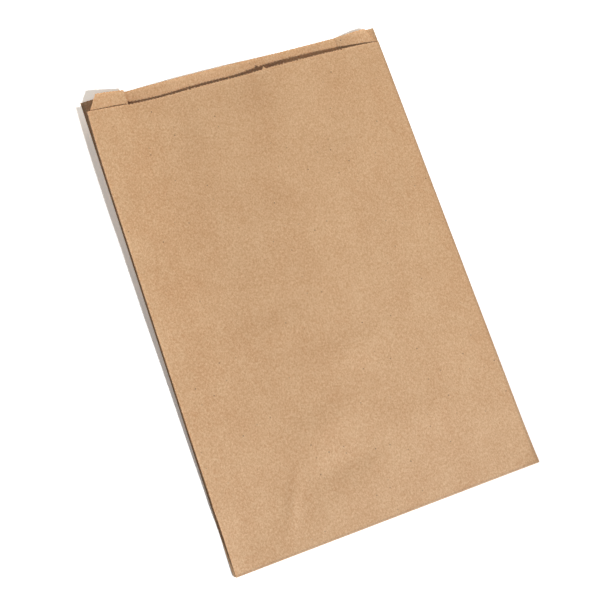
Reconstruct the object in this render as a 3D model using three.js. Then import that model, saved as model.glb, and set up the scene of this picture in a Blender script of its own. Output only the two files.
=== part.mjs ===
// A flat paper bag with side gussets, lying on its back with its mouth towards +Y.
//
// The bag is one sheet of kraft paper. It is wrapped into a tube, lapped and pasted along the middle of
// the back, creased inwards at both sides, and turned under and pasted at the bottom. One toothed knife
// cuts every bag from the running tube, so the bottom edge of the blank repeats its mouth edge, and the
// lip that stands past the front panel at the mouth is the paste flap of the next bag.
//
// Millimetres, +Z up. The origin is on the surface that the bag lies on, under the middle of the bag.

import * as THREE from 'three';

const { clamp, lerp, smoothstep } = THREE.MathUtils;

// Paper
const PAPER = 0.12;
const LAYER_GAP = 0.12; // between the faces of layers that are pressed or pasted together

// Flat bag
const WIDTH = 304.8; // back panel, fold to fold
const LENGTH = 463.3; // bottom fold to the cut edge of the back panel
const GUSSET_DEPTH = 42.5; // back leaf of a side gusset, crease to crease
const FRONT_INSET = 1.2; // how much shallower the front leaf is, so the front panel is the narrower one
const SEAM_LAP = 20; // width of the pasted lap along the back
const SEAM_RAMP = 6; // run in which the inner layer climbs on to the lap
const SEAM_CLEARANCE = 1; // from the top of that ramp to the outer layer's edge

// Knife cut
const LIP = 16.5; // how far the back panel and the gussets stand past the front panel
const TAB_SLANT = 13; // run of the slanted cut across the front leaf of each gusset
const TOOTH_PITCH = 3.175;
const TOOTH_DEPTH = 1.3;

// Bottom
const TUCK = 8; // full stack turned under; past it only the pasted front panel goes on, by one LIP

// How far the paper has sprung open, as heights above the pressed state at the front panel's cut
const LEFT_FOLD_RISE = 14.5;
const LEFT_DIP_X = -82;
const LEFT_DIP_RISE = 5.2;
const CENTRE_RISE = 7;
const RIGHT_CREST_X = 78;
const RIGHT_CREST_RISE = 10.4;
const RIGHT_FOLD_RISE = 3.2;
const LEFT_CREASE_RISE = 5; // inner crease of the left gusset
const RIGHT_CREASE_RISE = 0.3; // inner crease of the right gusset
const SPRING_POWER = 0.6; // below 1: the bag opens fastest just past the bottom

// Fineness of the surface
const FOLD_STEPS = 4;
const BOTTOM_FOLD_STEPS = 4;
const FRONT_STEPS = 22;
const BACK_STEPS = 4;
const ROW_STEP = 45; // longest step along the bag
const MOUTH_BAND = 20; // band of plain paper between the last row and the front panel's cut
const SLOPE_REACH = 1; // half the span over which a slope is measured

// Sizes that follow
const layerPitch = PAPER + LAYER_GAP;
const foldRadius = layerPitch / 2; // of the middle of the paper
const stackHeight = 3 * layerPitch; // back panel to front panel over the gussets, pressed
const bottomFoldOuter = foldRadius + stackHeight + PAPER / 2;
const bottomFoldArc = Math.PI * (foldRadius + stackHeight / 2);
const foldAxisY = -LENGTH / 2 + bottomFoldOuter;
const foldAxisZ = bottomFoldOuter;
const backLength = LENGTH - bottomFoldOuter;
const frontLength = backLength - LIP;
const knifeRepeat = backLength + TUCK + bottomFoldArc; // length of tube that one bag takes
const flapLength = TUCK + LIP;
const restHeight = PAPER / 2;

const mouthProfile = new THREE.CubicInterpolant(
  [-WIDTH / 2, LEFT_DIP_X, 0, RIGHT_CREST_X, WIDTH / 2],
  [LEFT_FOLD_RISE, LEFT_DIP_RISE, CENTRE_RISE, RIGHT_CREST_RISE, RIGHT_FOLD_RISE],
  1,
);

// Rise of the front panel at its cut edge.
function mouthRise(x) {
  return mouthProfile.evaluate(clamp(x, -WIDTH / 2, WIDTH / 2))[0];
}

function mouthSlope(x) {
  const ahead = Math.min(x + SLOPE_REACH, WIDTH / 2);
  const behind = Math.max(x - SLOPE_REACH, -WIDTH / 2);
  return (mouthRise(ahead) - mouthRise(behind)) / (ahead - behind);
}

// Share of the mouth's opening at a distance v from the bottom fold.
function springAt(v) {
  return (Math.max(v, 0) / frontLength) ** SPRING_POWER;
}

// Height of the back panel: up on the turned-under flap at the bottom, on the surface past it.
function floorAt(v) {
  const onFlap = 1 - smoothstep(v, TUCK, 2 * flapLength);
  return lerp(restHeight, foldAxisZ + foldRadius, onFlap);
}

// A point of the section: its place across the bag, its height over the back panel, the direction out of
// the bag, and how far the knife's cut stands past the front panel's cut there.
function sectionPoint(x, height, normal, cut) {
  return { x, height, normal, cut };
}

function pointBetween(start, end, share) {
  return sectionPoint(
    lerp(start.x, end.x, share),
    lerp(start.height, end.height, share),
    start.normal.clone().lerp(end.normal, share).normalize(),
    lerp(start.cut, end.cut, share),
  );
}

// Points round a fold. A left turn (1) has the outside of the bag away from the fold's centre. The inner
// crease of a gusset is a right turn (-1), with the outside of the bag towards its centre.
function foldPoints(centre, headingIn, headingOut, turn, cut) {
  const points = [];
  for (let step = 0; step <= FOLD_STEPS; step += 1) {
    const angle = lerp(headingIn, headingOut, step / FOLD_STEPS) - (turn * Math.PI) / 2;
    const spoke = new THREE.Vector2(Math.cos(angle), Math.sin(angle));
    const place = centre.clone().addScaledVector(spoke, foldRadius);
    points.push(sectionPoint(place.x, place.y, spoke.multiplyScalar(turn), cut));
  }
  return points;
}

// Heading of a flat leaf between two folds that turn opposite ways, the first of them by turn.
function leafHeading(from, to, turn) {
  const across = to.clone().sub(from);
  return across.angle() + turn * Math.asin((2 * foldRadius) / across.length());
}

// Right-hand gusset, from the back panel's fold to the front panel's fold.
function gussetPoints(creaseRise, frontRise, frontSlope) {
  const frontDepth = GUSSET_DEPTH - FRONT_INSET;
  const backFold = new THREE.Vector2(WIDTH / 2 - PAPER / 2 - foldRadius, foldRadius);
  const crease = new THREE.Vector2(0, 3 * foldRadius + creaseRise);
  crease.x = backFold.x - Math.sqrt(GUSSET_DEPTH ** 2 - (crease.y - backFold.y) ** 2);
  const frontFold = new THREE.Vector2(0, 5 * foldRadius + frontRise);
  frontFold.x = crease.x + Math.sqrt(frontDepth ** 2 - (frontFold.y - crease.y) ** 2);

  const backLeaf = leafHeading(backFold, crease, 1);
  const frontLeaf = leafHeading(crease, frontFold, -1) - 2 * Math.PI * (frontFold.y < crease.y);
  const frontPanel = Math.PI + Math.atan(frontSlope);
  const backTurn = foldPoints(backFold, 0, backLeaf, 1, LIP);
  const creaseTurn = foldPoints(crease, backLeaf, frontLeaf, -1, LIP);
  const frontTurn = foldPoints(frontFold, frontLeaf, frontPanel, 1, 0);

  const slantStart = pointBetween(creaseTurn.at(-1), frontTurn[0], 1 - TAB_SLANT / frontDepth);
  slantStart.cut = LIP;
  return [
    ...backTurn,
    pointBetween(backTurn.at(-1), creaseTurn[0], 1 / 2),
    ...creaseTurn,
    pointBetween(creaseTurn.at(-1), slantStart, 1 / 2),
    slantStart,
    ...frontTurn,
  ];
}

// The same gusset on the left, as the paper runs on from the front panel to the back panel.
function mirrored(points) {
  const flip = (p) => sectionPoint(-p.x, p.height, new THREE.Vector2(-p.normal.x, p.normal.y), p.cut);
  return points.map(flip).reverse();
}

function backPanelPoint(x, height) {
  return sectionPoint(x, height, new THREE.Vector2(0, -1), LIP);
}

function frontPanelPoint(x, spring) {
  const normal = new THREE.Vector2(-spring * mouthSlope(x), 1).normalize();
  return sectionPoint(x, stackHeight + spring * mouthRise(x), normal, 0);
}

// The whole section, from the outer edge of the seam round the bag to the inner edge of the seam.
function section(v) {
  const spring = springAt(v);
  const rightSlope = spring * mouthSlope(WIDTH / 2);
  const leftSlope = -spring * mouthSlope(-WIDTH / 2);
  const right = gussetPoints(spring * RIGHT_CREASE_RISE, spring * RIGHT_FOLD_RISE, rightSlope);
  const left = mirrored(gussetPoints(spring * LEFT_CREASE_RISE, spring * LEFT_FOLD_RISE, leftSlope));
  const lapEdge = SEAM_LAP / 2;
  const rampTop = -lapEdge - SEAM_CLEARANCE;
  const rampFoot = rampTop - SEAM_RAMP;

  const points = [];
  for (let step = 0; step < BACK_STEPS; step += 1) {
    points.push(backPanelPoint(lerp(-lapEdge, right[0].x, step / BACK_STEPS), 0));
  }
  points.push(...right);
  for (let step = 1; step < FRONT_STEPS; step += 1) {
    points.push(frontPanelPoint(lerp(right.at(-1).x, left[0].x, step / FRONT_STEPS), spring));
  }
  points.push(...left);
  for (let step = 1; step <= BACK_STEPS; step += 1) {
    points.push(backPanelPoint(lerp(left.at(-1).x, rampFoot, step / BACK_STEPS), 0));
  }
  points.push(backPanelPoint(rampTop, layerPitch), backPanelPoint(lapEdge, layerPitch));
  return points;
}

// From the section to the bag: straight along Y, and rolled under round the bottom fold where v < 0.
function placed(x, height, v) {
  if (v >= 0) {
    return new THREE.Vector3(x, foldAxisY + v, floorAt(v) + height);
  }
  const radius = foldRadius + height;
  const angle = Math.PI * Math.min(-v / bottomFoldArc, 1);
  const run = Math.max(-v - bottomFoldArc, 0);
  const y = foldAxisY - radius * Math.sin(angle) + run;
  return new THREE.Vector3(x, y, foldAxisZ + radius * Math.cos(angle));
}

// Distances from the bottom fold at which the sheet has a row of points.
function rowStations() {
  const rows = [];
  for (let step = BOTTOM_FOLD_STEPS; step > 0; step -= 1) {
    rows.push((-bottomFoldArc * step) / BOTTOM_FOLD_STEPS);
  }
  const rampEnd = 2 * flapLength;
  const bandStart = frontLength - MOUTH_BAND;
  rows.push(0, TUCK, (TUCK + flapLength) / 2, flapLength, (flapLength + rampEnd) / 2);
  const steps = Math.ceil((bandStart - rampEnd) / ROW_STEP);
  for (let step = 0; step <= steps; step += 1) {
    rows.push(lerp(rampEnd, bandStart, step / steps));
  }
  return rows;
}

// Depth of the toothed cut below the tips of its teeth, at a distance u along the blank.
function toothDepth(u) {
  return TOOTH_DEPTH * Math.abs(2 * ((u / TOOTH_PITCH) % 1) - 1);
}

// Where the knife cuts between one column of the sheet and the next: at the column itself, then at each
// tip and root of a tooth. Each place has its share of the way and its height over the front panel's cut.
function knifePlaces(columns) {
  const halfTooth = TOOTH_PITCH / 2;
  const places = [];
  let u = 0;
  for (let i = 0; i < columns.length; i += 1) {
    const here = columns[i];
    const next = columns[i + 1] ?? here;
    const span = Math.hypot(next.x - here.x, next.height - here.height);
    places.push([{ share: 0, height: here.cut - toothDepth(u) }]);
    for (let n = Math.floor(u / halfTooth) + 1; n * halfTooth < u + span; n += 1) {
      const share = (n * halfTooth - u) / span;
      places[i].push({ share, height: lerp(here.cut, next.cut, share) - toothDepth(n * halfTooth) });
    }
    u += span;
  }
  return places;
}

// The mesh of the sheet. Each of its points is a pair, on the outside and on the inside of the paper.
class Sheet {
  positions = [];

  triangles = [];

  addPoint(p, v) {
    for (const side of [PAPER / 2, -PAPER / 2]) {
      const point = placed(p.x + side * p.normal.x, p.height + side * p.normal.y, v);
      this.positions.push(...point.toArray());
    }
    return this.positions.length / 6 - 1;
  }

  // A triangle on the outside and, turned over, on the inside.
  addFace(a, b, c) {
    this.triangles.push(2 * a, 2 * b, 2 * c, 2 * a + 1, 2 * c + 1, 2 * b + 1);
  }

  // The thickness of the paper along a cut, with the sheet on the right on the way from a to b.
  addCut(a, b) {
    this.triangles.push(2 * a, 2 * b, 2 * b + 1, 2 * a, 2 * b + 1, 2 * a + 1);
  }

  addRow(v) {
    return section(v).map((p) => this.addPoint(p, v));
  }

  addStrip(lower, upper) {
    for (let i = 0; i + 1 < lower.length; i += 1) {
      this.addFace(lower[i], upper[i + 1], lower[i + 1]);
      this.addFace(lower[i], upper[i], upper[i + 1]);
    }
    this.addCut(upper[0], lower[0]);
    this.addCut(lower.at(-1), upper.at(-1));
  }

  // The band between a row and the knife's cut, which is past the row at the mouth (1) and before it at
  // the bottom (-1). It is a fan of triangles for each step of the row.
  addKnifeBand(row, cutStart, side) {
    const edges = knifePlaces(section(0)).map((places, i) =>
      places.map(({ share, height }) => {
        const v = cutStart + height;
        const points = section(v);
        return this.addPoint(pointBetween(points[i], points[i + 1] ?? points[i], share), v);
      }),
    );
    const face = side > 0 ? (a, b, c) => this.addFace(a, c, b) : (a, b, c) => this.addFace(a, b, c);
    const cut = side > 0 ? (a, b) => this.addCut(b, a) : (a, b) => this.addCut(a, b);
    cut(row[0], edges[0][0]);
    for (let i = 0; i + 1 < row.length; i += 1) {
      const edge = [...edges[i], edges[i + 1][0]];
      const middle = Math.floor((edge.length - 1) / 2);
      face(row[i], row[i + 1], edge[middle]);
      for (let k = 0; k + 1 < edge.length; k += 1) {
        face(k < middle ? row[i] : row[i + 1], edge[k + 1], edge[k]);
        cut(edge[k], edge[k + 1]);
      }
    }
    cut(edges.at(-1)[0], row.at(-1));
  }

  geometry() {
    const geometry = new THREE.BufferGeometry();
    geometry.setAttribute('position', new THREE.Float32BufferAttribute(this.positions, 3));
    geometry.setIndex(this.triangles);
    geometry.computeVertexNormals();
    return geometry;
  }
}

function foldedSheet() {
  const sheet = new Sheet();
  const rows = rowStations().map((v) => sheet.addRow(v));
  for (let j = 0; j + 1 < rows.length; j += 1) {
    sheet.addStrip(rows[j], rows[j + 1]);
  }
  sheet.addKnifeBand(rows.at(-1), frontLength, 1);
  sheet.addKnifeBand(rows[0], frontLength - knifeRepeat, -1);
  return sheet.geometry();
}

const kraft = new THREE.MeshStandardMaterial({ color: '#cca57f', roughness: 0.9, metalness: 0 });
const paperBag = new THREE.Mesh(foldedSheet(), kraft);
paperBag.name = 'paper_bag';

const bag = new THREE.Group();
bag.add(paperBag);

export default bag;
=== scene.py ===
# %% [markdown]
# # A paper pizza bag
# The bag is one sheet of brown kraft paper. It was wrapped into a tube, lapped and pasted along the middle
# of the back, creased inwards at both sides, and turned under and pasted at the bottom. It lies on its back
# with its mouth towards +Y, and its folds have sprung open a little, as new paper does.
#
# The construction model is loaded first. It fixes the size and the place of the bag, in metres with +Z up,
# and the sheet that is made here takes its place.

# %% Load the construction model
import math

import bpy
import numpy as np
from mathutils import Matrix, Vector, noise


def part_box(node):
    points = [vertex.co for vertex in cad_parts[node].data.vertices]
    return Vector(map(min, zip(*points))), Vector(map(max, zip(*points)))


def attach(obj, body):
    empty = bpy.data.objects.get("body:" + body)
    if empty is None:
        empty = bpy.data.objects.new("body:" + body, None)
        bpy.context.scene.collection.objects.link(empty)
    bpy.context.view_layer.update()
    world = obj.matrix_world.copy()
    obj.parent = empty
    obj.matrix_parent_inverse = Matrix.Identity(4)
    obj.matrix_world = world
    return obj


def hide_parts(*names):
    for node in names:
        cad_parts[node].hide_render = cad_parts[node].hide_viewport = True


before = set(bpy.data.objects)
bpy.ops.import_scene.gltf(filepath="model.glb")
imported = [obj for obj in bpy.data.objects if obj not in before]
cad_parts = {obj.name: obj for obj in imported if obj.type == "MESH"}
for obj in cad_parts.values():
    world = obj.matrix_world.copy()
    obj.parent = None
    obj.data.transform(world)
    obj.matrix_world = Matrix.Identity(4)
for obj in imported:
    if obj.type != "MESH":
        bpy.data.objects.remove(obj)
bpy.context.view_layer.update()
MM = 0.001

bag_low, bag_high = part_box("paper_bag")
WIDTH = (bag_high.x - bag_low.x) / MM
LENGTH = (bag_high.y - bag_low.y) / MM
print(f"The bag is {WIDTH:.1f} mm wide and {LENGTH:.1f} mm long")

# %% [markdown]
# ## Camera
# The picture looks down on the bag from just past its left edge, nearer to the bottom than to the mouth. The
# back panel is a rectangle, so its four corners in the picture are enough to work out where the camera was.
# A camera that looks down on a point of the floor is described best by that point, its distance and three
# turns: how far it leans from straight down, towards which side, and how it is rolled about its own axis.

# %% Hang the camera over the bag
AIM = Vector((-13.8, -13.7, 0.0)) * MM
DISTANCE = 806.4 * MM
LEAN = math.radians(13.93)
SIDE = math.radians(-54.67)
ROLL = math.radians(36.15)
LENS = 51.1

camera_data = bpy.data.cameras.new("camera")
camera_data.lens = LENS
camera_data.sensor_width = 36.0
camera = bpy.data.objects.new("camera", camera_data)
camera.matrix_world = (
    Matrix.Translation(AIM)
    @ Matrix.Rotation(SIDE, 4, "Z")
    @ Matrix.Rotation(LEAN, 4, "X")
    @ Matrix.Rotation(ROLL, 4, "Z")
    @ Matrix.Translation((0.0, 0.0, DISTANCE))
)
scene = bpy.context.scene
scene.collection.objects.link(camera)
scene.camera = camera
scene.view_settings.view_transform = "Standard"
print(f"The camera hangs {camera.matrix_world.translation.z / MM:.0f} mm over the floor")

# %% [markdown]
# ## Nodes
# Node trees make both the folded sheet and its paper. One function adds a node, sets its options and fills
# its inputs: an input takes either a plain value or the output of another node. A second one turns a hex
# colour, as a colour picker shows it, into the linear levels that light adds up in.


# %% Add nodes with one function
def add(tree, kind, inputs=None, **options):
    node = tree.nodes.new(kind)
    for option, value in options.items():
        setattr(node, option, value)
    for socket, value in (inputs or {}).items():
        if isinstance(value, bpy.types.NodeSocket):
            tree.links.new(value, node.inputs[socket])
        else:
            node.inputs[socket].default_value = value
    return node


def linear(hex_colour):
    """An sRGB hex colour as the linear RGBA that shaders work with."""
    levels = [int(hex_colour[i : i + 2], 16) / 255 for i in (1, 3, 5)]
    return [c / 12.92 if c <= 0.04045 else ((c + 0.055) / 1.055) ** 2.4 for c in levels] + [1.0]


print(f"Half grey, #808080, has a linear level of {linear('#808080')[0]:.2f}")

# %% [markdown]
# ## Light and floor
# One lamp stands far off to the lower right, a little under 45 degrees up, and gives the bag its shadow. It
# is a disc, whose size blurs the shadow's edge a little. The room around fills in the rest: it is bright to
# the lower left and dark beyond the mouth, so that the shadow in the mouth stays deep. Together they light a
# level surface to about three quarters of white. The paper's shine makes up most of the rest, so a colour
# renders about as it is written.
#
# The floor is a sheet of white card. For the camera and for reflections its white is raised, so that it
# comes out pure white and keeps the bag's soft shadow. They also see a faint, warm glow, which lightens that
# shadow towards the mouth, where the bag stands higher, and most by the tabs, where one sheet shades it.

# %% Light the bag
LAMP_SIDE = Vector((0.53, -0.85, 0.0)).normalized()


def disc_lamp(name, level, height, distance, diameter):
    """A disc that lights the middle of the floor to that level, from a height in degrees."""
    height = math.radians(height)
    towards = LAMP_SIDE * math.cos(height) + Vector((0.0, 0.0, math.sin(height)))
    data = bpy.data.lights.new(name, "AREA")
    data.shape = "DISK"
    data.size = diameter
    data.energy = 4 * math.pi * level * distance**2 / math.sin(height)
    lamp = bpy.data.objects.new(name, data)
    lamp.matrix_world = Matrix.Translation(towards * distance) @ (
        towards.to_track_quat("Z", "Y").to_matrix().to_4x4()
    )
    lamp.visible_camera = False
    scene.collection.objects.link(lamp)
    print(f"{name} has {data.energy:.0f} W")


disc_lamp("lamp", level=0.56, height=43, distance=40.0, diameter=3.0)

# %% Light the room
ROOM_SIDE = Vector((-0.65, -0.76, 0.0)).normalized()
ROOM_LEVEL = 0.47
ROOM_DARK_FROM = -0.6


def sees_background(tree):
    """1 for rays from the camera, a reflection or a clear material, and 0 for those that only light."""
    rays = add(tree, "ShaderNodeLightPath").outputs
    seen = add(tree, "ShaderNodeMath", {0: rays["Is Camera Ray"], 1: rays["Is Glossy Ray"]},
               operation="MAXIMUM").outputs[0]
    return add(tree, "ShaderNodeMath", {0: seen, 1: rays["Is Transmission Ray"]},
               operation="MAXIMUM").outputs[0]


world = bpy.data.worlds.new("white_room")
scene.world = world
world.use_nodes = True
tree = world.node_tree
tree.nodes.clear()
towards = add(tree, "ShaderNodeTexCoord").outputs["Generated"]
facing = add(tree, "ShaderNodeVectorMath", {0: towards, 1: ROOM_SIDE},
             operation="DOT_PRODUCT").outputs["Value"]
level = add(tree, "ShaderNodeMapRange", {"Value": facing, "From Min": ROOM_DARK_FROM, "From Max": 1.0,
                                         "To Max": ROOM_LEVEL}).outputs[0]
room = add(tree, "ShaderNodeMix", {"Factor": sees_background(tree), 2: level, 3: 1.0}).outputs[0]
glow = add(tree, "ShaderNodeBackground", {"Color": (1.0, 1.0, 1.0, 1.0), "Strength": room}).outputs[0]
add(tree, "ShaderNodeOutputWorld", {"Surface": glow})
print(f"The brightest side of the room has a level of {ROOM_LEVEL}")

# %% Lay the floor
FLOOR_SIZE = 6.0
FLOOR_WHITE = 0.92
FLOOR_SEEN = 1.23
GLOW_AT_MOUTH = 0.28
GLOW_AT_TABS = 0.2
TAB_GLOW_FROM = bag_high.y - 40 * MM
TAB_GLOW_TO = bag_high.y - 10 * MM
GLOW_TINT = "#fff3e4"

floor_material = bpy.data.materials.new("white_card")
floor_material.use_nodes = True
tree = floor_material.node_tree
tree.nodes.clear()
seen = sees_background(tree)
white = add(tree, "ShaderNodeMix", {"Factor": seen, 2: FLOOR_WHITE, 3: FLOOR_SEEN}).outputs[0]
card = add(tree, "ShaderNodeBsdfDiffuse", {"Color": white}).outputs[0]
place = add(tree, "ShaderNodeTexCoord").outputs["Object"]
along_bag = add(tree, "ShaderNodeSeparateXYZ", {0: place}).outputs["Y"]
level = add(tree, "ShaderNodeMapRange", {"Value": along_bag, "From Min": bag_low.y, "From Max": bag_high.y,
                                         "To Max": GLOW_AT_MOUTH}).outputs[0]
at_tabs = add(tree, "ShaderNodeMapRange", {"Value": along_bag, "From Min": TAB_GLOW_FROM,
                                           "From Max": TAB_GLOW_TO, "To Max": GLOW_AT_TABS}).outputs[0]
level = add(tree, "ShaderNodeMath", {0: level, 1: at_tabs}, operation="ADD").outputs[0]
strength = add(tree, "ShaderNodeMath", {0: seen, 1: level}, operation="MULTIPLY").outputs[0]
glow = add(tree, "ShaderNodeEmission", {"Color": linear(GLOW_TINT), "Strength": strength}).outputs[0]
both = add(tree, "ShaderNodeAddShader", {0: card, 1: glow}).outputs[0]
add(tree, "ShaderNodeOutputMaterial", {"Surface": both})

half = FLOOR_SIZE / 2
floor_mesh = bpy.data.meshes.new("floor")
floor_corners = [(-half, -half, 0), (half, -half, 0), (half, half, 0), (-half, half, 0)]
floor_mesh.from_pydata(floor_corners, [], [(0, 1, 2, 3)])
floor_mesh.materials.append(floor_material)
floor = bpy.data.objects.new("floor", floor_mesh)
scene.collection.objects.link(floor)
print(f"The floor is {FLOOR_SIZE} m square")

# %% [markdown]
# ## The tube in section
# Cut across, the bag is one line of paper: from the outer edge of the back seam to the right, round the
# right gusset, back along the front panel, round the left gusset, and on to the inner edge of the seam. The
# line is worked out twice, as pressed flat by the bag machine and as sprung open at the mouth. Points are
# complex numbers here, x across the bag and height as the imaginary part, because turns are then products.
# From here on, sizes are in millimetres.

# %% Stack the layers
PAPER = 0.12
LAYER_GAP = 0.12

layer_pitch = PAPER + LAYER_GAP
fold_radius = layer_pitch / 2
stack_height = 3 * layer_pitch
print(f"Pressed flat, the four layers at the sides are {stack_height + PAPER:.2f} mm thick")

# %% Follow the mouth's edge
# Rise of the front panel's cut edge over its pressed height, from the left fold to the right fold
MOUTH_X = [-WIDTH / 2, -124.0, -98.0, -80.0, -45.0, 0.0, 30.0, 76.0, 106.0, 130.0, WIDTH / 2]
MOUTH_RISE = [14.6, 10.2, 5.8, 4.8, 6.4, 8.3, 8.8, 8.9, 7.7, 5.6, 2.4]


def mouth_rise(x):
    """A smooth curve through the mouth's points: cubic pieces that share their slopes."""
    slopes = np.gradient(MOUTH_RISE, MOUTH_X)
    i = int(np.clip(np.searchsorted(MOUTH_X, x) - 1, 0, len(MOUTH_X) - 2))
    span = MOUTH_X[i + 1] - MOUTH_X[i]
    t = (x - MOUTH_X[i]) / span
    start = MOUTH_RISE[i] + (slopes[i] * span + 2 * MOUTH_RISE[i]) * t
    end = MOUTH_RISE[i + 1] + (2 * MOUTH_RISE[i + 1] - slopes[i + 1] * span) * (1 - t)
    return start * (1 - t) ** 2 + end * t**2


print(f"The mouth's edge rises by {mouth_rise(0.0):.1f} mm in the middle")

# %% Turn round a fold
FOLD_STEPS = 6


def fold(centre, radius, heading_in, heading_out, turn):
    """Points round a fold. The paper turns left (1) or, at the inner crease of a gusset, right (-1)."""
    headings = np.linspace(heading_in, heading_out, FOLD_STEPS + 1)
    return [complex(p) for p in centre - 1j * turn * radius * np.exp(1j * headings)]


def leaf_heading(start, end, radii, turn):
    """Heading of the flat paper between two folds, when the one at the start turns by turn."""
    across = end - start
    return np.angle(across) + turn * math.asin(radii / abs(across))


print(f"A half turn has {len(fold(0j, fold_radius, 0.0, math.pi, 1))} points")

# %% Crease a gusset
GUSSET_DEPTH = 42.5
FRONT_INSET = 1.2
LIP = 16.5
TAB_SLANT = 11.0
LEFT_TAB_STEP = 2.4
RIGHT_TAB_STEP = 0.3
SPRUNG_FOLD_RADIUS = 0.7


def gusset(spring, crease_rise, side):
    """A gusset from the back fold to the front fold, as points with the lip there and the share of the
    front leaf that is crossed. It is worked out on the right. The side, 1 on the right and -1 on the left,
    says which rise of the mouth it has, and which step at the foot of its tab.
    """
    front_radius = fold_radius + spring * (SPRUNG_FOLD_RADIUS - fold_radius)
    front_depth = GUSSET_DEPTH - FRONT_INSET
    fold_x = WIDTH / 2 - FRONT_INSET
    fold_rise = mouth_rise(side * fold_x)
    slope = fold_rise - mouth_rise(side * (fold_x - 1))
    back_fold = complex(WIDTH / 2 - PAPER / 2 - fold_radius, fold_radius)
    rise = 2 * fold_radius + spring * crease_rise
    crease = back_fold + complex(-math.sqrt(GUSSET_DEPTH**2 - rise**2), rise)
    rise = stack_height + spring * fold_rise - front_radius - crease.imag
    front_fold = crease + complex(math.sqrt(front_depth**2 - rise**2), rise)
    back_leaf = leaf_heading(back_fold, crease, 2 * fold_radius, 1)
    front_leaf = leaf_heading(crease, front_fold, fold_radius + front_radius, -1)

    inner = fold(back_fold, fold_radius, 0.0, back_leaf, 1)
    inner += fold(crease, fold_radius, back_leaf, front_leaf, -1)
    outer = fold(front_fold, front_radius, front_leaf, math.pi + math.atan(spring * slope), 1)
    slant = TAB_SLANT / front_depth
    step = (LEFT_TAB_STEP if side < 0 else RIGHT_TAB_STEP) / front_depth
    leaf = inner[-1] - outer[0]
    tab = [(outer[0] + leaf * slant, LIP, 1 - slant), (outer[0] + leaf * step, 0.0, 1 - step)]
    return [*((p, LIP, 0.0) for p in inner), *tab, *((p, 0.0, 1.0) for p in outer)]


print(f"A gusset is a line of {len(gusset(0.0, 0.0, 1))} points")

# %% Close the section
LEFT_CREASE_RISE = 5.0
RIGHT_CREASE_RISE = -0.1
SEAM_LAP = 20.0
SEAM_RAMP = 6.0
SEAM_CLEARANCE = 1.0
FRONT_STEPS = 400


def section(spring, front_steps):
    """The whole line of paper, with each gusset and the front panel sprung open by that share."""
    right = gusset(spring, RIGHT_CREASE_RISE, 1)
    left = gusset(spring, LEFT_CREASE_RISE, -1)
    left = [(complex(-p.real, p.imag), lip, leaf) for p, lip, leaf in reversed(left)]
    across = np.linspace(right[-1][0].real, left[0][0].real, front_steps + 1)[1:-1]
    front = [(complex(x, stack_height + spring * mouth_rise(x)), 0.0, 1.0) for x in across]
    ramp_top = -SEAM_LAP / 2 - SEAM_CLEARANCE
    seam = [ramp_top - SEAM_RAMP, complex(ramp_top, layer_pitch), complex(SEAM_LAP / 2, layer_pitch)]
    seam = [(complex(p), LIP, 0.0) for p in (-SEAM_LAP / 2, *seam)]
    return [np.array(values) for values in zip(seam[0], *right, *front, *left, *seam[1:])]


def lengths(line):
    """Distance along a line of points."""
    return np.concatenate([[0.0], np.cumsum(np.abs(np.diff(line)))])


corners = lengths(section(0.0, front_steps=1)[0])
pressed, lip, leaf = section(0.0, FRONT_STEPS)
sprung = section(1.0, FRONT_STEPS)[0]
along = lengths(pressed)
BLANK_WIDTH = along[-1]
print(f"The blank is {BLANK_WIDTH:.1f} mm wide and turns {len(corners)} corners")

# %% [markdown]
# ## Columns and rows
# The blank becomes a grid. Its columns run the length of the bag: one at each corner of the section, and
# one at each tip and root of the knife's teeth, which are an eighth of an inch apart. Its rows run round the
# bag. They are close together where the paper bends, at the bottom fold and at the mouth. The last rows at
# each end follow the knife's cut, so a row also has a share from 0, straight across, to 1, on the cut.

# %% Lay out the columns
TOOTH_PITCH = 3.175
FRONT_TOOTH_DEPTH = 1.3
LIP_TOOTH_DEPTH = 0.4

columns = np.union1d(corners, np.arange(0.0, BLANK_WIDTH, TOOTH_PITCH / 2))
column_lips = np.interp(columns, along, lip)
column_x = np.interp(columns, along, pressed.real)

# The cut is cleaner along the back's lip, and where the front lay on the gussets
on_one_layer = (column_lips == 0.0) & (np.abs(column_x) < WIDTH / 2 - GUSSET_DEPTH)
tooth_depths = np.where(on_one_layer, FRONT_TOOTH_DEPTH, LIP_TOOTH_DEPTH)
column_values = {
    "along": columns,
    "lip": column_lips,
    "tooth_depth": tooth_depths,
    "pressed_x": column_x,
    "pressed_height": np.interp(columns, along, pressed.imag),
    "sprung_x": np.interp(columns, along, sprung.real),
    "sprung_height": np.interp(columns, along, sprung.imag),
}
print(f"The blank has {len(columns)} columns")

# %% Lay out the rows
TUCK = 8.0
MOUTH_BAND = 20.0
FOLD_SUPPORT = 0.6
FLAP_STEPS = 4
BOTTOM_FOLD_STEPS = 6
RAMP_STEPS = 8
BODY_STEPS = 56
MOUTH_STEPS = 9

bottom_outer = fold_radius + stack_height + PAPER / 2
bottom_arc = math.pi * (fold_radius + stack_height / 2)
back_length = LENGTH - bottom_outer
front_length = back_length - LIP
flap_length = TUCK + LIP

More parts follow.
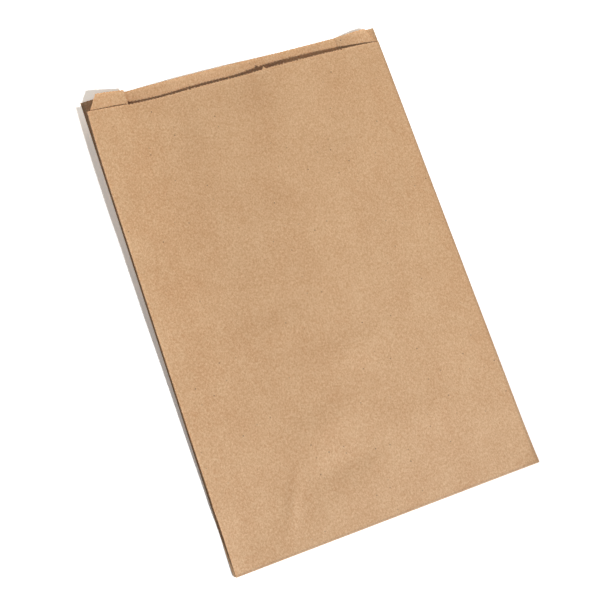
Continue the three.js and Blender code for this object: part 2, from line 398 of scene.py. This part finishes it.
band_start = front_length - MOUTH_BAND
ramp_end = 2 * flap_length
rows = np.concatenate([
    np.linspace(-bottom_arc - flap_length, -bottom_arc, FLAP_STEPS + 1)[:-1],
    np.linspace(-bottom_arc, 0.0, BOTTOM_FOLD_STEPS + 1)[:-1],
    [0.0, FOLD_SUPPORT, 3 * FOLD_SUPPORT],
    np.linspace(0.0, ramp_end, RAMP_STEPS + 1)[1:-1],
    np.linspace(ramp_end, band_start, BODY_STEPS + 1)[:-1],
    np.linspace(band_start, front_length, MOUTH_STEPS + 1),
])
on_bottom_cut = np.interp(rows, [-bottom_arc - flap_length, -bottom_arc], [1.0, 0.0])
on_mouth_cut = np.interp(rows, [band_start, front_length], [0.0, 1.0])
row_values = {"station": rows, "on_cut": on_bottom_cut + on_mouth_cut}
print(f"The blank has {len(rows)} rows")


# %% Store both as points
def chain(name, values):
    """A row of loose points that carries one number of each kind per point."""
    count = len(next(iter(values.values())))
    mesh = bpy.data.meshes.new(name)
    mesh.vertices.add(count)
    for kind, numbers in values.items():
        mesh.attributes.new(kind, "FLOAT", "POINT").data.foreach_set("value", numbers.astype(np.float32))
    points = bpy.data.objects.new(name, mesh)
    scene.collection.objects.link(points)
    return points


column_chain = chain("bag_columns", column_values)
row_chain = chain("bag_rows", row_values)
print(f"A column carries {len(column_values)} numbers and a row {len(row_values)}")

# %% [markdown]
# ## Kraft paper
# Unbleached kraft is long pulp fibre, machine dried and hardly pressed. It is a warm brown with a dull shine
# towards the lamp. A fine grain covers it, with soft clouds where the pulp lies thicker and a few dark
# specks of bark. The fibres lie along the web, which runs the length of the bag, and so do faint streaks.
# All patterns read the blank's own map, in metres, so that they follow the sheet round its folds.
#
# Thin paper also lets a little light through, redder than the light that it throws back. That keeps the
# inside of the mouth brown where it would otherwise be nearly black.

# %% Draw the grain and the clouds
WEB_TILT = (0.6, 0.4, 0.1)
WEB_STRETCH = 0.7
GRAIN_SIZE = 1.35
CLOUD_SIZE = 24.0

paper = bpy.data.materials.new("kraft_paper")
paper.use_nodes = True
tree = paper.node_tree
tree.nodes.clear()
blank = add(tree, "ShaderNodeUVMap", uv_map="blank").outputs[0]


def pattern_scale(size):
    """Scale of a texture whose features are that many millimetres across."""
    return 1 / (size * MM)


# The sheet cuts the noise at a slant, so that the noise's own lattice doesn't show
web = add(tree, "ShaderNodeMapping", {"Vector": blank, "Rotation": WEB_TILT,
                                      "Scale": (1.0, WEB_STRETCH, 1.0)}).outputs[0]

# Single fibres are far finer than a pixel, so the grain draws bundles of them
grain = add(tree, "ShaderNodeTexNoise", {"Vector": web, "Scale": pattern_scale(GRAIN_SIZE), "Detail": 3.0,
                                         "Roughness": 0.85}).outputs[0]
clouds = add(tree, "ShaderNodeTexNoise", {"Vector": web, "Scale": pattern_scale(CLOUD_SIZE), "Detail": 4.0,
                                          "Roughness": 0.65}).outputs[0]
print(f"The grain is {GRAIN_SIZE} mm across and a cloud {CLOUD_SIZE:.0f} mm")

# %% Draw the streaks and mix the tone
KRAFT_DARK = "#c59566"
KRAFT_PALE = "#e8c69b"
STREAK_SIZE = 60.0
STREAK_STRETCH = 0.12
STREAK_SEED = 0.42

# How strongly each pattern changes the tone
GRAIN = 3.45
CLOUDS = 0.56
STREAKS = 0.35

# Streaks, where the pulp ran thicker or thinner on to the wire
drawn_out = add(tree, "ShaderNodeMapping", {"Vector": blank, "Location": (0.0, 0.0, STREAK_SEED),
                                            "Scale": (1.0, STREAK_STRETCH, 1.0)}).outputs[0]
streaks = add(tree, "ShaderNodeTexNoise", {"Vector": drawn_out, "Scale": pattern_scale(STREAK_SIZE),
                                           "Detail": 2.0}).outputs[0]

# Each noise is a half on average, and so is the tone that they add up to
tone = add(tree, "ShaderNodeMath", {0: grain, 1: GRAIN, 2: (1 - GRAIN - CLOUDS - STREAKS) / 2},
           operation="MULTIPLY_ADD").outputs[0]
tone = add(tree, "ShaderNodeMath", {0: clouds, 1: CLOUDS, 2: tone}, operation="MULTIPLY_ADD").outputs[0]
tone = add(tree, "ShaderNodeMath", {0: streaks, 1: STREAKS, 2: tone}, operation="MULTIPLY_ADD").outputs[0]
colour = add(tree, "ShaderNodeMix", {0: tone, 6: linear(KRAFT_DARK), 7: linear(KRAFT_PALE)},
             data_type="RGBA").outputs[2]
print(f"A streak is {STREAK_SIZE:.0f} mm wide and {STREAK_SIZE / STREAK_STRETCH:.0f} mm long")

# %% Scatter specks of bark
BARK = "#6f4c2e"
SPECK_SPACING = 14.0
SPECK_RARITY = 7.0
SPECK_CORE = 0.42
SPECK_RIM = 0.77

# There is one in each cell, and most of them are faint
cells = add(tree, "ShaderNodeTexVoronoi", {"Vector": blank, "Scale": pattern_scale(SPECK_SPACING)},
            voronoi_dimensions="2D").outputs
speck = add(tree, "ShaderNodeMapRange",
            {"Value": cells["Distance"], "From Min": SPECK_CORE / SPECK_SPACING,
             "From Max": SPECK_RIM / SPECK_SPACING, "To Min": 1.0, "To Max": 0.0}).outputs[0]
chance = add(tree, "ShaderNodeSeparateColor", {0: cells["Color"]}).outputs[0]
chance = add(tree, "ShaderNodeMath", {0: chance, 1: SPECK_RARITY}, operation="POWER").outputs[0]
speck = add(tree, "ShaderNodeMath", {0: speck, 1: chance}, operation="MULTIPLY").outputs[0]
colour = add(tree, "ShaderNodeMix", {0: speck, 6: colour, 7: linear(BARK)}, data_type="RGBA").outputs[2]
print(f"The specks are up to {2 * SPECK_RIM:.1f} mm across and {SPECK_SPACING:.0f} mm apart")

# %% Give the paper its surface
# Strength of the rubbed cuts and of the painted highlight and painted shade on the folds
WEAR_AND_PAINTED_LIGHT = 0.18
GRAIN_RELIEF = 0.03
ROUGHNESS = 0.5
SHINE = 0.7
LIGHT_THROUGH = "#ffb06d"
THROUGH = 0.15

# Rubbed cuts are paler; the front's left fold has a painted highlight, and the other folds painted shade
worn_and_painted = add(tree, "ShaderNodeAttribute", attribute_name="wear_and_painted_light").outputs["Fac"]
worn_and_painted = add(tree, "ShaderNodeMath", {0: worn_and_painted, 1: WEAR_AND_PAINTED_LIGHT, 2: 1.0}, operation="MULTIPLY_ADD").outputs[0]
colour = add(tree, "ShaderNodeMix", {0: 1.0, 6: colour, 7: worn_and_painted},
             data_type="RGBA", blend_type="MULTIPLY").outputs[2]

# The bundles also stand up a few hundredths of a millimetre
relief = add(tree, "ShaderNodeBump", {"Strength": 1.0, "Distance": GRAIN_RELIEF * MM,
                                      "Height": grain}).outputs[0]
surface = add(tree, "ShaderNodeBsdfPrincipled", {"Base Color": colour, "Roughness": ROUGHNESS,
                                                 "Specular IOR Level": SHINE, "Normal": relief}).outputs[0]
through = add(tree, "ShaderNodeBsdfTranslucent", {"Color": linear(LIGHT_THROUGH)}).outputs[0]
both = add(tree, "ShaderNodeMixShader", {0: THROUGH, 1: surface, 2: through}).outputs[0]
add(tree, "ShaderNodeOutputMaterial", {"Surface": both})
print(f"The paper has {len(tree.nodes)} nodes")

# %% [markdown]
# ## Folding the blank
# The bag could be modelled by hand, but its shape follows a rule: every point of the blank has a place round
# the tube and a distance from the bottom fold, and these two say where it ends up. A Geometry Nodes tree is
# made for such a rule. It lays out a grid, looks up each column and row, opens the section further towards
# the mouth, cuts the teeth, and rolls under what reaches past the bottom fold.

# %% Name the folding tree's inputs
SPRING_POWER = 0.72

folding = bpy.data.node_groups.new("fold_blank", "GeometryNodeTree")
folding.interface.new_socket("Geometry", in_out="OUTPUT", socket_type="NodeSocketGeometry")
folding_inputs = {
    "Columns": ("NodeSocketObject", column_chain),
    "Rows": ("NodeSocketObject", row_chain),
    "Tooth pitch": ("NodeSocketFloat", TOOTH_PITCH),
    "Front length": ("NodeSocketFloat", front_length),
    "Spring power": ("NodeSocketFloat", SPRING_POWER),
    "Fold radius": ("NodeSocketFloat", fold_radius),
    "Bottom arc": ("NodeSocketFloat", bottom_arc),
    "Bottom fold Y": ("NodeSocketFloat", bottom_outer - LENGTH / 2),
    "Rest height": ("NodeSocketFloat", PAPER / 2),
    "Flap height": ("NodeSocketFloat", bottom_outer + fold_radius),
    "Tuck": ("NodeSocketFloat", TUCK),
    "Flap length": ("NodeSocketFloat", flap_length),
    "Paper": ("NodeSocketMaterial", paper),
}
sockets = {
    name: folding.interface.new_socket(name, in_out="INPUT", socket_type=kind)
    for name, (kind, value) in folding_inputs.items()
}
size = add(folding, "NodeGroupInput").outputs
print(f"The folding tree has {len(sockets)} inputs")

# %% Look up each column and row
column_points = add(folding, "GeometryNodeObjectInfo", {"Object": size["Columns"]}).outputs["Geometry"]
row_points = add(folding, "GeometryNodeObjectInfo", {"Object": size["Rows"]}).outputs["Geometry"]
column_count, row_count = (
    add(folding, "GeometryNodeAttributeDomainSize", {"Geometry": points}).outputs["Point Count"]
    for points in (column_points, row_points)
)
grid = add(folding, "GeometryNodeMeshGrid", {"Vertices X": column_count, "Vertices Y": row_count})
index = add(folding, "GeometryNodeInputIndex").outputs[0]
column, row = (
    add(folding, "FunctionNodeIntegerMath", {0: index, 1: row_count}, operation=operation).outputs[0]
    for operation in ("DIVIDE_FLOOR", "MODULO")
)

looked_up = {}
for points, place, kinds in ((column_points, column, column_values), (row_points, row, row_values)):
    for kind in kinds:
        stored = add(folding, "GeometryNodeInputNamedAttribute", {"Name": kind}, data_type="FLOAT")
        found = add(folding, "GeometryNodeSampleIndex",
                    {"Geometry": points, "Value": stored.outputs[0], "Index": place}, data_type="FLOAT")
        looked_up[kind] = found.outputs[0]
print(f"Each point of the grid looks up {len(looked_up)} numbers")

# %% Cut the teeth and open the section
# Distance from the bottom fold, on the knife's cut lessened by the depth of the teeth
half_pitch = add(folding, "ShaderNodeMath", {0: size["Tooth pitch"], 1: 0.5},
                 operation="MULTIPLY").outputs[0]
wave = add(folding, "ShaderNodeMath", {0: looked_up["along"], 1: half_pitch},
           operation="PINGPONG").outputs[0]
tooth = add(folding, "ShaderNodeMapRange", {"Value": wave, "From Max": half_pitch,
                                            "To Min": looked_up["tooth_depth"], "To Max": 0.0}).outputs[0]
cut = add(folding, "ShaderNodeMath", {0: looked_up["lip"], 1: tooth}, operation="SUBTRACT").outputs[0]
distance = add(folding, "ShaderNodeMath", {0: cut, 1: looked_up["on_cut"], 2: looked_up["station"]},
               operation="MULTIPLY_ADD").outputs[0]

# The section there, between pressed and sprung: the pasted flap holds the bottom flat
past_fold = add(folding, "ShaderNodeMath", {0: distance, 1: 0.0}, operation="MAXIMUM").outputs[0]
share = add(folding, "ShaderNodeMath", {0: past_fold, 1: size["Front length"]},
            operation="DIVIDE").outputs[0]
spring = add(folding, "ShaderNodeMath", {0: share, 1: size["Spring power"]}, operation="POWER").outputs[0]
freed_from = add(folding, "ShaderNodeMath", {0: size["Flap length"], 1: 2.0},
                 operation="MULTIPLY").outputs[0]
freed = add(folding, "ShaderNodeMapRange", {"Value": past_fold, "From Max": freed_from},
            interpolation_type="SMOOTHSTEP").outputs[0]
spring = add(folding, "ShaderNodeMath", {0: spring, 1: freed}, operation="MULTIPLY").outputs[0]
across, height = (
    add(folding, "ShaderNodeMix", {"Factor": spring, 2: looked_up[pressed_kind], 3: looked_up[sprung_kind]},
        clamp_factor=False).outputs[0]
    for pressed_kind, sprung_kind in (("pressed_x", "sprung_x"), ("pressed_height", "sprung_height"))
)
print(f"The teeth are {FRONT_TOOTH_DEPTH} mm deep on the front and {LIP_TOOTH_DEPTH} mm on the lip")

# %% Roll the bottom under
# The back panel climbs on to the flap near the bottom, and the rest is rolled under the bottom fold
ground = add(folding, "ShaderNodeMapRange",
             {"Value": distance, "From Min": size["Tuck"], "From Max": freed_from,
              "To Min": size["Flap height"], "To Max": size["Rest height"]},
             interpolation_type="SMOOTHSTEP").outputs[0]
under = add(folding, "ShaderNodeMath", {0: distance, 1: -1.0}, operation="MULTIPLY").outputs[0]
turned = add(folding, "ShaderNodeMapRange", {"Value": under, "From Max": size["Bottom arc"],
                                             "To Max": math.pi}).outputs[0]
radius = add(folding, "ShaderNodeMath", {0: height, 1: size["Fold radius"]}, operation="ADD").outputs[0]
sine = add(folding, "ShaderNodeMath", {0: turned}, operation="SINE").outputs[0]
cosine = add(folding, "ShaderNodeMath", {0: turned}, operation="COSINE").outputs[0]
past_arc = add(folding, "ShaderNodeMath", {0: under, 1: size["Bottom arc"]}, operation="SUBTRACT").outputs[0]
flap_run = add(folding, "ShaderNodeMath", {0: past_arc, 1: 0.0}, operation="MAXIMUM").outputs[0]
run = add(folding, "ShaderNodeMath", {0: past_fold, 1: flap_run}, operation="ADD").outputs[0]
start = add(folding, "ShaderNodeMath", {0: run, 1: size["Bottom fold Y"]}, operation="ADD").outputs[0]
out = add(folding, "ShaderNodeMath", {0: radius, 1: sine}, operation="MULTIPLY").outputs[0]
lengthways = add(folding, "ShaderNodeMath", {0: start, 1: out}, operation="SUBTRACT").outputs[0]
base = add(folding, "ShaderNodeMath", {0: ground, 1: size["Fold radius"]}, operation="SUBTRACT").outputs[0]
upwards = add(folding, "ShaderNodeMath", {0: radius, 1: cosine, 2: base},
              operation="MULTIPLY_ADD").outputs[0]
place = add(folding, "ShaderNodeCombineXYZ", {0: across, 1: lengthways, 2: upwards}).outputs[0]
place = add(folding, "ShaderNodeVectorMath", {0: place, "Scale": MM}, operation="SCALE").outputs[0]
print(f"The flap under the bottom is {flap_length} mm long")

# %% Finish the folding tree
# The sheet takes along the blank's own map, in metres
flat = add(folding, "ShaderNodeCombineXYZ", {0: looked_up["along"], 1: distance}).outputs[0]
flat = add(folding, "ShaderNodeVectorMath", {0: flat, "Scale": MM}, operation="SCALE").outputs[0]
flat = add(folding, "GeometryNodeFieldOnDomain", {0: flat},
           data_type="FLOAT_VECTOR", domain="POINT").outputs[0]
mapped = add(folding, "GeometryNodeStoreNamedAttribute",
             {"Geometry": grid.outputs["Mesh"], "Name": "blank", "Value": flat},
             data_type="FLOAT2", domain="CORNER").outputs[0]
folded = add(folding, "GeometryNodeSetPosition", {"Geometry": mapped, "Position": place}).outputs[0]
real = add(folding, "GeometryNodeRealizeInstances", {"Geometry": folded}).outputs[0]
dressed = add(folding, "GeometryNodeSetMaterial", {"Geometry": real, "Material": size["Paper"]}).outputs[0]
add(folding, "NodeGroupOutput", {0: dressed})
print(f"The folding tree has {len(folding.nodes)} nodes")


# %% Fold the blank
def finished_mesh(piece, modifier):
    """The piece's mesh with the modifier worked into it, and the modifier removed."""
    evaluated = piece.evaluated_get(bpy.context.evaluated_depsgraph_get())
    mesh = bpy.data.meshes.new_from_object(evaluated)
    piece.modifiers.remove(modifier)
    return mesh


bag = bpy.data.objects.new("paper_bag_sheet", bpy.data.meshes.new("paper_bag_sheet"))
scene.collection.objects.link(bag)
fold_blank = bag.modifiers.new("fold_blank", "NODES")
fold_blank.node_group = folding
for name, (kind, value) in folding_inputs.items():
    fold_blank[sockets[name].identifier] = value
bag.data = finished_mesh(bag, fold_blank)
for helper in (column_chain, row_chain):
    bpy.data.objects.remove(helper)
print(f"The folded sheet has {len(bag.data.vertices)} points")

# %% [markdown]
# ## Handling
# A bag that has been packed and laid out keeps soft dents, and no sheet dries quite flat. The rule above
# knows nothing of that, so the sheet is now worked over: its points are read as a grid of columns and rows,
# moved, and put back. A dent is a soft round spot that presses or raises every layer there by the same share
# of its height, so the layers keep their order, down to the table. Low noise adds the cockle of drying.

# %% Dent the sheet
DENTS = [
    # x, y, length, breadth in mm, turn in degrees, share of the height
    (-30, -172, 32, 9, 8, -0.42),
    (-32, -134, 34, 12, 16, 0.22),
    (-30, -200, 30, 10, 8, 0.18),
    (-83, -191, 22, 6, 65, 0.6),
    (4, 232, 24, 42, 0, -0.25),
    (-2, 20, 110, 30, 90, 0.12),
    (-155, 45, 90, 22, 90, 0.1),
    (60, -155, 30, 14, 0, 0.2),
    (15, -75, 26, 13, 0, 0.15),
    (-50, -32, 30, 11, 0, 0.12),
]
COCKLE = 0.08
COCKLE_SIZE = 45.0

points = np.empty(3 * len(bag.data.vertices), np.float32)
bag.data.vertices.foreach_get("co", points)
points = points.reshape(len(columns), len(rows), 3) / MM
x, y, z = np.moveaxis(points, 2, 0)


def soft_spot(centre_x, centre_y, length, breadth, turn, share):
    """A round spot, drawn out to a length and turned."""
    away = (x - centre_x + 1j * (y - centre_y)) * np.exp(-1j * math.radians(turn))
    return share * np.exp(-((away.real / length) ** 2) - (away.imag / breadth) ** 2)


cockle = [noise.noise((u / COCKLE_SIZE, v / COCKLE_SIZE, 0.0)) for u, v in zip(x.flat, y.flat)]
shares = sum(soft_spot(*dent) for dent in DENTS) + COCKLE * np.reshape(cockle, x.shape)
z[:] = np.maximum(z * (1 + shares), PAPER / 2)
print(f"Dents press or raise the paper by {shares.min():.0%} to {shares.max():.0%} of its height")

# %% [markdown]
# Edges suffer most. The lip has lifted off the table a little, left of the middle. The tabs of the gussets,
# which nothing holds past the front edge, have curled up, the right one more than the left, and lean to the
# right.

# %% Lift the lip and curl the tabs
LIP_LIFT = 2.0
LIP_LIFT_FROM = 60.0
LIP_LIFT_X = [-120.0, -60.0, -25.0, 50.0]
LEFT_TAB_CURL = 0.9
RIGHT_TAB_CURL = 2.8
TAB_CURL_POWER = 1.3
TAB_PEAK = 1.25
TAB_LEAN = 1.6
TAB_LEAN_FULL = 1 / 3

# The back panel lifts together with the back leaves of the gussets, which lie on it
is_back = column_values["pressed_height"] < 1.5 * layer_pitch
mouth_y = LENGTH / 2
lifting = np.clip(1 - (mouth_y - y) / LIP_LIFT_FROM, 0.0, 1.0) ** 2
lifted = np.interp(x, LIP_LIFT_X, [0.0, 1.0, 1.0, 0.0])
lift = is_back[:, None] * LIP_LIFT * lifted * lifting
z += lift

crossed = np.interp(columns, along, leaf)
curling = np.clip((y - mouth_y + LIP) / LIP, 0.0, 1.0) ** TAB_CURL_POWER
tab_curl = np.where(column_values["pressed_x"] < 0, LEFT_TAB_CURL, RIGHT_TAB_CURL)
z += (tab_curl * np.sin(math.pi * crossed**TAB_PEAK))[:, None] * curling
leaning = np.minimum(crossed / TAB_LEAN_FULL, 1.0) * (crossed < 1.0)
x += TAB_LEAN * leaning[:, None] * curling
print(f"The lip has lifted by up to {lift.max():.1f} mm")

# %% [markdown]
# The front's left fold is drawn in at the mouth and near the bottom, where it also stands open and has a
# kink. Each of these fades out across the front panel and across the gusset's front leaf.

# %% Shape the left fold
LEFT_DRAW = 2.6
LEFT_DRAW_FROM = 90.0
LEFT_DRAW_WIDTH = 40.0
LOW_DRAW = 0.8
LOW_DRAW_FROM = -95.0
LOW_DRAW_TO = -195.0
LEFT_OPEN = 1.5
LEFT_OPEN_FROM = 12.0
LEFT_OPEN_TO = 90.0
LEFT_OPEN_WIDTH = 30.0
KINK = 0.4
KINK_Y = -170.0
KINK_LENGTH = 7.0
KINK_WIDTH = 20.0


def near_left_fold(width):
    """From 1 on the front's left fold to 0 that far across the front and the gusset's front leaf."""
    return crossed[:, None] * np.clip(1 - (x + WIDTH / 2) / width, 0.0, 1.0)


drawn = LEFT_DRAW * np.clip(1 - (mouth_y - y) / LEFT_DRAW_FROM, 0.0, 1.0) ** 2
drawn += LOW_DRAW * np.interp(y, [LOW_DRAW_TO, LOW_DRAW_FROM], [1.0, 0.0])
x += drawn * near_left_fold(LEFT_DRAW_WIDTH)
opened = np.clip(rows / LEFT_OPEN_FROM, 0.0, 1.0) * np.exp(-((rows / LEFT_OPEN_TO) ** 2))
z += LEFT_OPEN * opened * near_left_fold(LEFT_OPEN_WIDTH) ** 2
kinked = KINK * np.exp(-(((y - KINK_Y) / KINK_LENGTH) ** 2))
x -= kinked * near_left_fold(KINK_WIDTH)
print(f"The left fold stands open by up to {LEFT_OPEN * opened.max():.1f} mm more near the bottom")

# %% [markdown]
# The bottom right corner is bent up, and the bottom left corner is blunted. The knife tears more than it
# cuts, so the teeth at the mouth are uneven, and one of the front's has torn long.

# %% Bend the corners and tear the cut
CORNER_LIFT = 1.6
CORNER_REACH = 24.0
BLUNT = 2.4
BLUNTING = 0.8
RAGGED = 0.8
RAGGED_SIZE = 2.3
TORN_X = 27.0
TORN_LENGTH = 3.0

from_right_corner = WIDTH / 2 - x + y + LENGTH / 2
z += CORNER_LIFT * np.clip(1 - from_right_corner / CORNER_REACH, 0.0, 1.0) ** 2
from_left_corner = WIDTH / 2 + x + y + LENGTH / 2
blunted = BLUNTING * np.clip(BLUNT - from_left_corner, 0.0, None) / 2
x += blunted
y += blunted

ragged = np.array([noise.noise((u / RAGGED_SIZE, 0.0, 0.0)) for u in columns])
y[:, -1] += RAGGED * tooth_depths * ragged
torn = np.argmin(np.abs(column_values["pressed_x"] - TORN_X) + WIDTH * (crossed < 1.0))
y[torn, -1] += TORN_LENGTH
bag.data.vertices.foreach_set("co", (points * MM).astype(np.float32).ravel())
print(f"The highest point is now {z.max():.1f} mm up")

# %% [markdown]
# Folds and cuts also change the paper's tone. The raw cuts are rubbed pale. The front's left fold, which
# stands up, gets a painted highlight, and the other folds, which the bag is stacked on, get a thin painted
# shade, most of all the back's left one, which lies in the shade of the open gusset. This is kept as a
# number for each point, which the paper's material reads.

# %% Wear the cuts and paint light and shade on the folds
# Widths and strengths of the painted highlight and painted shade along the folds
PAINTED_SIDE_FOLD_WIDTH = 1.2
BOTTOM_FOLD_SHADE_WIDTH = 0.9
FOLD_SHADE = 1.6
LEFT_FOLD_SHADE = 3.2

from_fold = WIDTH / 2 - FRONT_INSET - np.abs(column_values["pressed_x"])
on_side_fold = np.exp(-((from_fold / PAINTED_SIDE_FOLD_WIDTH) ** 2))
on_bottom_fold = np.exp(-((rows / BOTTOM_FOLD_SHADE_WIDTH) ** 2))
on_cut = (row_values["on_cut"] == 1.0) * 1.0
is_left_front = (column_values["pressed_x"] < 0) & ~is_back
# Pale: wear on the raw cuts, and a painted highlight along the front's left fold
worn_cut_and_painted_highlight = np.maximum(np.where(is_left_front, on_side_fold, 0.0)[:, None], on_cut)
# Dark: painted shade along the other folds, strongest on the back's left one, in the gusset's shade
fold_shade_strength = np.where(column_values["pressed_x"] < 0, LEFT_FOLD_SHADE, FOLD_SHADE)
painted_side_shade = np.where(is_left_front, 0.0, fold_shade_strength * on_side_fold)
painted_fold_shade = np.maximum(painted_side_shade[:, None], FOLD_SHADE * on_bottom_fold)
wear_and_painted_light = bag.data.attributes.new("wear_and_painted_light", "FLOAT", "POINT")
wear_and_painted_light.data.foreach_set("value", (worn_cut_and_painted_highlight - painted_fold_shade).astype(np.float32).ravel())
# Counts the points that are pale and the points that carry painted shade
print(f"{np.mean(worn_cut_and_painted_highlight > 0.5):.1%} of the points are rubbed and {np.mean(painted_fold_shade > 0.5):.1%} are pressed")

# %% [markdown]
# ## Thickness
# The sheet gets the thickness of the paper from a Solidify modifier, half to each side. Its faces are shaded
# smooth, apart from the edges of the cuts.

# %% Give the paper its thickness
SHARP_ANGLE = math.radians(50)

solidify = bag.modifiers.new("thickness", "SOLIDIFY")
solidify.thickness = PAPER * MM
solidify.offset = 0.0
bag.data = finished_mesh(bag, solidify)
bag.data.shade_smooth()
bag.data.set_sharp_from_angle(angle=SHARP_ANGLE)
triangles = sum(len(face.vertices) - 2 for face in bag.data.polygons)
print(f"The paper has {triangles} triangles")

# %% [markdown]
# ## Handing over
# The sheet rides on the bag's only body and stands for the construction model's solid.

# %% Hand the sheet over
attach(bag, "root")
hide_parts("paper_bag")
